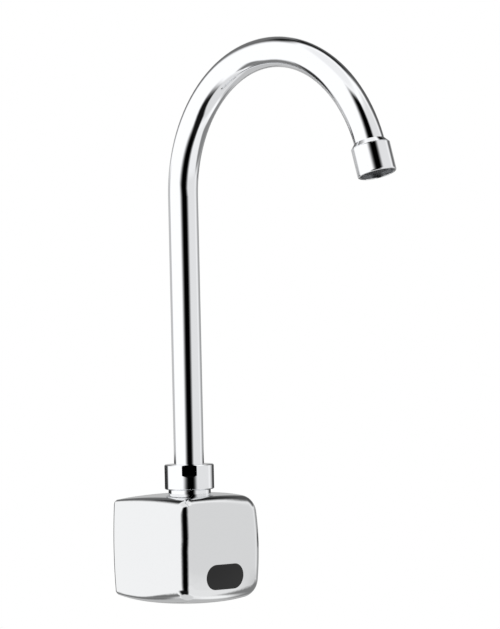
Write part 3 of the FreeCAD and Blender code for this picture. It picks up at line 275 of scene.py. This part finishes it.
def grey_acetal():
    # Moulded acetal in a mid grey, with a fine matt texture.
    material, tree, shader, place = start_material("grey_acetal", "#5A5C5F", 0.0, 0.42)
    set_range(tree, shader, "Roughness", grain(tree, place, 0.6, 3.0), 0.36, 0.52)
    set_bump(tree, shader, grain(tree, place, 0.3, 2.0), 0.3, 0.01)
    return material


def enamelled_copper():
    # Layer-wound enamelled wire, 0.16 mm, drawn here at a 0.45 mm pitch so that the turns can be seen.
    material, tree, shader, place = start_material("enamelled_copper", "#B4622F", 1.0, 0.25, Coat_Weight=0.6)
    turns = add_node(
        tree,
        "ShaderNodeTexWave",
        {"Vector": place, "Scale": WAVE_BAND / (0.45 * MM)},
        wave_type="BANDS",
        bands_direction="X",
    )
    set_bump(tree, shader, turns.outputs["Fac"], 0.8, 0.08)
    return material


def solder_mask():
    # Green solder mask on glass-epoxy: glossy, with the weave of the cloth barely showing.
    material, tree, shader, place = start_material("solder_mask", "#1E5A3A", 0.0, 0.25, Coat_Weight=0.4)
    weave = add_node(tree, "ShaderNodeTexChecker", {"Vector": place, "Scale": 1.0 / (0.8 * MM)})
    set_bump(tree, shader, weave.outputs["Fac"], 0.2, 0.01)
    return material


def clear_epoxy():
    # Cast water-clear epoxy of the emitter.
    material, tree, shader, place = start_material("clear_epoxy", "#F2F5FA", 0.0, 0.05, IOR=1.52)
    shader.inputs["Transmission Weight"].default_value = 0.85
    set_range(tree, shader, "Roughness", grain(tree, place, 2.0, 1.0), 0.03, 0.08)
    return material


def filter_epoxy():
    # Cast daylight-filter epoxy of the receiver: almost black, glossy.
    material, tree, shader, place = start_material("filter_epoxy", "#17161C", 0.0, 0.08, IOR=1.52)
    set_range(tree, shader, "Roughness", grain(tree, place, 2.0, 1.0), 0.05, 0.11)
    return material


def shrink_film():
    # Plain blue shrink film over two cells, with faint stretch marks along it.
    material, tree, shader, place = start_material("shrink_film", "#2C4173", 0.0, 0.22, Coat_Weight=0.3)
    marks = grain(tree, stretched(tree, place, (1.0, 0.15, 1.0)), 2.5, 3.0)
    set_range(tree, shader, "Roughness", marks, 0.15, 0.32)
    set_bump(tree, shader, marks, 0.25, 0.03)
    return material


def cable_jacket():
    # Extruded PVC over the coil's two cores.
    material, tree, shader, place = start_material("cable_jacket", "#2A2A2C", 0.0, 0.45)
    set_bump(tree, shader, grain(tree, place, 0.6, 2.0), 0.3, 0.01)
    return material


def outlet_grid_painted_dark():
    # Punched stainless outlet grid, half matt. Its dark grey base colour is painted shade of the recessed
    # outlet.
    material, tree, shader, place = start_material("outlet_grid_painted_dark", "#5F6164", 1.0, 0.5)
    set_range(tree, shader, "Roughness", grain(tree, place, 0.8, 3.0), 0.42, 0.6)
    return material


FINISHES = {
    chrome_on_casting_painted_darker: ("housing",),
    polished_chrome: (
        "coupling_nut",
        "outlet_hub",
        "spout_tube",
        "outlet_adapter",
        "aerator_housing",
    ),
    smoked_acrylic: ("sensor_window",),
    brushed_stainless: ("wall_plate",),
    turned_stainless: ("inlet_screen", "core_tube", "plunger"),
    rolled_screw_steel: ("set_screws", "valve_screws", "bonnet_screws", "case_screws", "tray_screw"),
    spring_wire: ("check_valve_spring", "plunger_spring", "battery_contacts"),
    zinc_plated_steel: ("solenoid_yoke", "coil_nut"),
    machined_brass: ("valve_body", "spout_collar"),
    moulded_rubber: (
        "inlet_washer",
        "diaphragm",
        "plunger_tip",
        "hub_washer",
        "hub_tail_seal",
        "spout_o_rings",
        "aerator_washer",
        "window_gasket",
    ),
    closed_cell_foam: ("rim_seal",),
    moulded_nylon: ("sensor_case", "case_lid", "board_chips", "battery_tray"),
    natural_acetal: (
        "check_valve_cage",
        "check_valve_poppet",
        "diaphragm_disc",
        "coil_bobbin",
        "glide_ring",
    ),
    grey_acetal: ("solenoid_bonnet", "aerator_insert"),
    enamelled_copper: ("coil_winding",),
    solder_mask: ("circuit_board",),
    clear_epoxy: ("ir_emitter",),
    filter_epoxy: ("ir_receiver",),
    shrink_film: ("battery",),
    cable_jacket: ("solenoid_lead",),
    outlet_grid_painted_dark: ("aerator_screen",),
}


def dress_nodes():
    """Gives every CAD node the finish of the real piece."""
    for finish, nodes in FINISHES.items():
        material = finish()
        for name in nodes:
            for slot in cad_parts[name].material_slots:
                slot.material = material


# ---------------------------------------------------------------- wound springs
WIRE_SIDES = 12
STEPS_PER_TURN = 32
SMOOTH_BELOW = math.radians(40)


def live_spring(name, node, along, radius_mm, wire_mm, turns, anchor_high):
    """A wound spring in place of a node's own, fixed to the body.

    along is the axis it lies on, 0 for X and 1 for Y. radius_mm is to the middle of the wire, and wire_mm is
    the wire's own radius. anchor_high picks an end, but nothing uses that end.
    """
    low, high = (Vector(corner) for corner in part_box(node))
    length = (high - low)[along]
    wire = wire_mm * MM
    bpy.ops.object.select_all(action="DESELECT")
    bpy.ops.mesh.primitive_circle_add(vertices=WIRE_SIDES, radius=wire, rotation=(math.pi / 2, 0, 0))
    piece = bpy.context.object
    piece.name = name
    bpy.ops.object.transform_apply(rotation=True)
    bpy.ops.object.mode_set(mode="EDIT")
    bpy.ops.mesh.select_all(action="SELECT")
    bpy.ops.transform.translate(value=(radius_mm * MM, 0, wire))
    bpy.ops.object.mode_set(mode="OBJECT")
    coil = piece.modifiers.new("coil", "SCREW")
    coil.axis = "Z"
    coil.angle = turns * 2 * math.pi
    coil.screw_offset = length - 2 * wire
    coil.steps = coil.render_steps = STEPS_PER_TURN * turns
    coil.use_normal_calculate = True
    bpy.ops.object.modifier_apply(modifier=coil.name)
    bpy.ops.object.mode_set(mode="EDIT")
    bpy.ops.mesh.select_all(action="DESELECT")
    bpy.ops.mesh.select_mode(type="EDGE")
    bpy.ops.mesh.select_non_manifold()
    bpy.ops.mesh.edge_face_add()
    bpy.ops.mesh.select_all(action="SELECT")
    bpy.ops.mesh.normals_make_consistent(inside=False)
    bpy.ops.object.mode_set(mode="OBJECT")
    bpy.ops.object.shade_smooth_by_angle(angle=SMOOTH_BELOW)
    start = (low + high) / 2
    start[along] = low[along]
    piece.rotation_euler = (0, math.pi / 2, 0) if along == 0 else (-math.pi / 2, 0, 0)
    piece.location = start
    bpy.ops.object.transform_apply(location=True, rotation=True)
    piece.data.materials.append(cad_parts[node].material_slots[0].material)
    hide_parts(node)
    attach(piece, "body")
    end = Vector(start)
    end[along] = high[along] if anchor_high else low[along]
    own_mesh(piece)


# ---------------------------------------------------------------- studio
TENT_R = 5.0
TENT_CENTRE = Vector((0, -0.12, 0.15))
TENT_CLOTH = 0.985  # brightness where no card covers the cloth, on the screen's scale
TENT_GAIN = 1.2
SCREEN_GAMMA = 2.2
FLOOR_Z = -4.0
FLOOR_SIZE = 60.0
FLOOR_PAINT = (0.9, 0.9, 0.9, 1.0)
FLOOR_LIFT = 0.36  # what the lens sees added to the floor's own paint, so that it reads white
WHITE = (1, 1, 1, 1)
ROOM_FILL = 0.72  # the room's light on matt surfaces; the lens and reflections see it at 1
KEY_PLACE = Vector((-1.9, -1.5, 2.2))
KEY_AIM = Vector((0, -0.1, 0.1))
KEY_SIZE = 1.6
KEY_WATTS = 26.0


def soft_mask(tree, value, edges):
    """1 between the two inner edges, 0 beyond the outer ones, smooth in between."""
    low0, low1, high0, high1 = edges
    rise = add_node(
        tree,
        "ShaderNodeMapRange",
        {"Value": value, "From Min": low0, "From Max": low1},
        interpolation_type="SMOOTHSTEP",
    )
    fall = add_node(
        tree,
        "ShaderNodeMapRange",
        {"Value": value, "From Min": high0, "From Max": high1, "To Min": 1.0, "To Max": 0.0},
        interpolation_type="SMOOTHSTEP",
    )
    return calculate(tree, "MULTIPLY", rise.outputs["Result"], fall.outputs["Result"])


# Grey cards and gaps of the light tent, as the chrome sees them; a later one lies over the earlier ones. Each
# gives the way it is counted, its brightness on the screen's scale, then its soft edges in degrees: round from
# the lens, and up. Around counts to the right, away counts alike to both sides, and leaning counts to the
# right from an upright that leans to the left, by nothing at the upper edge of LEAN_RISE and by LENS_LEAN
# degrees from its lower edge down.
LENS_LEAN = 6
LEAN_RISE = (-5, -1)
NO_START = (-400, -390)  # edges past every angle: the card has no end on that side
NO_END = (390, 400)
TENT_PARTS = (
    ("roof", "away", 0.92, (*NO_START, *NO_END), (62, 74, *NO_END)),
    ("rear_wall", "away", 0.66, (128, 150, *NO_END), (-30, -20, 18, 34)),
    ("rear_low", "away", 0.72, (130, 150, *NO_END), (-66, -58, -26, -18)),
    ("rear_rail", "away", 0.12, (116, 152, *NO_END), (20, 36, 51, 64)),
    ("left_rear_upper", "around", 0.42, (*NO_START, -150, -128), (3, 12, 40, 50)),
    ("left_rear_glow", "around", 0.72, (-172, -164, -124, -112), (-11, -9, 2, 5)),
    ("right_rear", "around", 0.60, (104, 140, 174, 182), (-24, -16, 3, 10)),
    ("right_rear_upper", "around", 0.34, (108, 134, 172, 180), (6, 14, 34, 46)),
    ("nut_sill", "around", 0.20, (*NO_START, -128, -114), (-5.8, -5.2, -3.98, -3.75)),
    ("nut_sill_right", "around", 0.26, (128, 142, *NO_END), (-5.8, -5.2, -3.98, -3.75)),
    ("top_rear", "away", 0.70, (166, 173, *NO_END), (0, 3, 18, 24)),
    ("under_rear", "away", 0.70, (168, 175, *NO_END), (-22, -18, -7, -5)),
    ("under_gap", "away", 0.36, (166, 172, *NO_END), (-27, -24, -22, -19)),
    ("right_low", "around", 0.92, (15, 50, 96, 120), (-62, -50, -18, -9)),
    ("right_wall", "around", 0.86, (15, 50, 96, 120), (-20, -10, 50, 62)),
    ("floor", "away", 0.84, (*NO_START, *NO_END), (*NO_START, -68, -54)),
    ("low_right", "around", 0.50, (93, 107, 152, 165), (-48, -38, -18, -9)),
    ("low_left", "around", 0.46, (-150, -132, -122, -110), (-58, -50, -17, -10)),
    ("low_left_fold", "around", 0.46, (-122, -114, -106, -94), (-60, -55, -42, -34)),
    ("low_left_line", "around", 0.20, (-150, -134, -119, -109), (-22, -18, -13, -9)),
    ("lens_gap", "leaning", 0.02, (-30, 4, 20, 48), (-68, -54, 56, 68)),
    ("front_edge", "around", 0.10, (-80, -40, 10, 40), (-70, -62, -48, -36)),
)


def light_tent():
    """A white tent round the tap, open in front for the lens. Only reflections see it."""
    bpy.ops.object.select_all(action="DESELECT")
    bpy.ops.mesh.primitive_uv_sphere_add(segments=48, ring_count=24, radius=TENT_R)
    tent = bpy.context.object
    tent.name = "light_tent"
    tent.location = TENT_CENTRE
    material = bpy.data.materials.new("tent_cloth")
    material.use_nodes = True
    tree = material.node_tree
    tree.nodes.clear()
    place = add_node(tree, "ShaderNodeTexCoord").outputs["Object"]
    unit = add_node(tree, "ShaderNodeVectorMath", {0: place}, operation="NORMALIZE").outputs["Vector"]
    turned = add_node(
        tree,
        "ShaderNodeVectorRotate",
        {"Vector": unit, "Axis": (0, 0, 1), "Angle": -AZIMUTH},
        rotation_type="AXIS_ANGLE",
    ).outputs["Vector"]
    parts = add_node(tree, "ShaderNodeSeparateXYZ", {"Vector": turned})
    front = calculate(tree, "MULTIPLY", parts.outputs["Y"], -1.0)
    around = calculate(tree, "DEGREES", calculate(tree, "ARCTAN2", parts.outputs["X"], front))
    up = calculate(tree, "DEGREES", calculate(tree, "ARCSINE", parts.outputs["Z"]))
    low, high = LEAN_RISE
    lean = add_node(
        tree,
        "ShaderNodeMapRange",
        {"Value": up, "From Min": low, "From Max": high, "To Min": LENS_LEAN, "To Max": 0.0},
    )
    ways = {
        "around": around,
        "away": calculate(tree, "ABSOLUTE", around),
        "leaning": calculate(tree, "ADD", around, lean.outputs["Result"]),
    }
    level = add_node(tree, "ShaderNodeValue").outputs["Value"]
    level.default_value = TENT_CLOTH
    for name, way, grey, turn_edges, rise_edges in TENT_PARTS:
        turn, rise = soft_mask(tree, ways[way], turn_edges), soft_mask(tree, up, rise_edges)
        mask = calculate(tree, "MULTIPLY", turn, rise)
        card = {"Factor": mask, "A": level, "B": grey}
        level = add_node(tree, "ShaderNodeMix", card, data_type="FLOAT", label=name).outputs["Result"]
    light = calculate(tree, "MULTIPLY", calculate(tree, "POWER", level, SCREEN_GAMMA), TENT_GAIN)
    glow = add_node(tree, "ShaderNodeEmission", {"Color": WHITE, "Strength": light})
    add_node(tree, "ShaderNodeOutputMaterial", {"Surface": glow.outputs["Emission"]})
    tent.data.materials.append(material)
    bpy.ops.object.shade_smooth()
    tent.visible_camera = False
    tent.visible_diffuse = False
    tent.visible_transmission = False
    tent.visible_shadow = False


def studio_floor():
    """A plain pale floor far below the tap. Reflections don't see it."""
    bpy.ops.object.select_all(action="DESELECT")
    bpy.ops.mesh.primitive_plane_add(size=FLOOR_SIZE, location=(0, 0, FLOOR_Z))
    floor = bpy.context.object
    floor.name = "studio_floor"
    material = bpy.data.materials.new("pale_floor")
    material.use_nodes = True
    tree = material.node_tree
    tree.nodes.clear()
    paint = add_node(tree, "ShaderNodeBsdfDiffuse", {"Color": FLOOR_PAINT})
    rays = add_node(tree, "ShaderNodeLightPath")
    lift = calculate(tree, "MULTIPLY", rays.outputs["Is Camera Ray"], FLOOR_LIFT)
    glow = add_node(tree, "ShaderNodeEmission", {"Color": WHITE, "Strength": lift})
    both = add_node(tree, "ShaderNodeAddShader", {0: paint.outputs["BSDF"], 1: glow.outputs["Emission"]})
    add_node(tree, "ShaderNodeOutputMaterial", {"Surface": both.outputs["Shader"]})
    floor.data.materials.append(material)
    floor.visible_glossy = False


def studio_lights():
    """A white room all round and one large soft lamp, which chrome doesn't mirror."""
    world = bpy.data.worlds.new("white_room")
    bpy.context.scene.world = world
    world.use_nodes = True
    tree = world.node_tree
    tree.nodes.clear()
    rays = add_node(tree, "ShaderNodeLightPath")
    seen = calculate(tree, "MAXIMUM", rays.outputs["Is Camera Ray"], rays.outputs["Is Glossy Ray"])
    seen = calculate(tree, "MAXIMUM", seen, rays.outputs["Is Transmission Ray"])
    strength = add_node(tree, "ShaderNodeMapRange", {"Value": seen, "To Min": ROOM_FILL, "To Max": 1.0})
    glow = add_node(tree, "ShaderNodeBackground", {"Color": WHITE, "Strength": strength.outputs["Result"]})
    add_node(tree, "ShaderNodeOutputWorld", {"Surface": glow.outputs["Background"]})
    lamp = bpy.data.lights.new("key_softbox", "AREA")
    lamp.shape = "RECTANGLE"
    lamp.size = lamp.size_y = KEY_SIZE
    lamp.energy = KEY_WATTS
    key = bpy.data.objects.new("key_softbox", lamp)
    key.location = KEY_PLACE
    key.rotation_euler = (KEY_AIM - KEY_PLACE).to_track_quat("-Z", "Y").to_euler()
    key.visible_glossy = False
    bpy.context.collection.objects.link(key)
    bpy.context.scene.view_settings.view_transform = "Standard"


# ---------------------------------------------------------------- build
add_camera()
dress_nodes()
live_spring("plunger_spring_coil", "plunger_spring", 0, 1.8, 0.3, 6, True)
live_spring("check_spring_coil", "check_valve_spring", 1, 2.2, 0.25, 4, False)
light_tent()
studio_floor()
studio_lights()
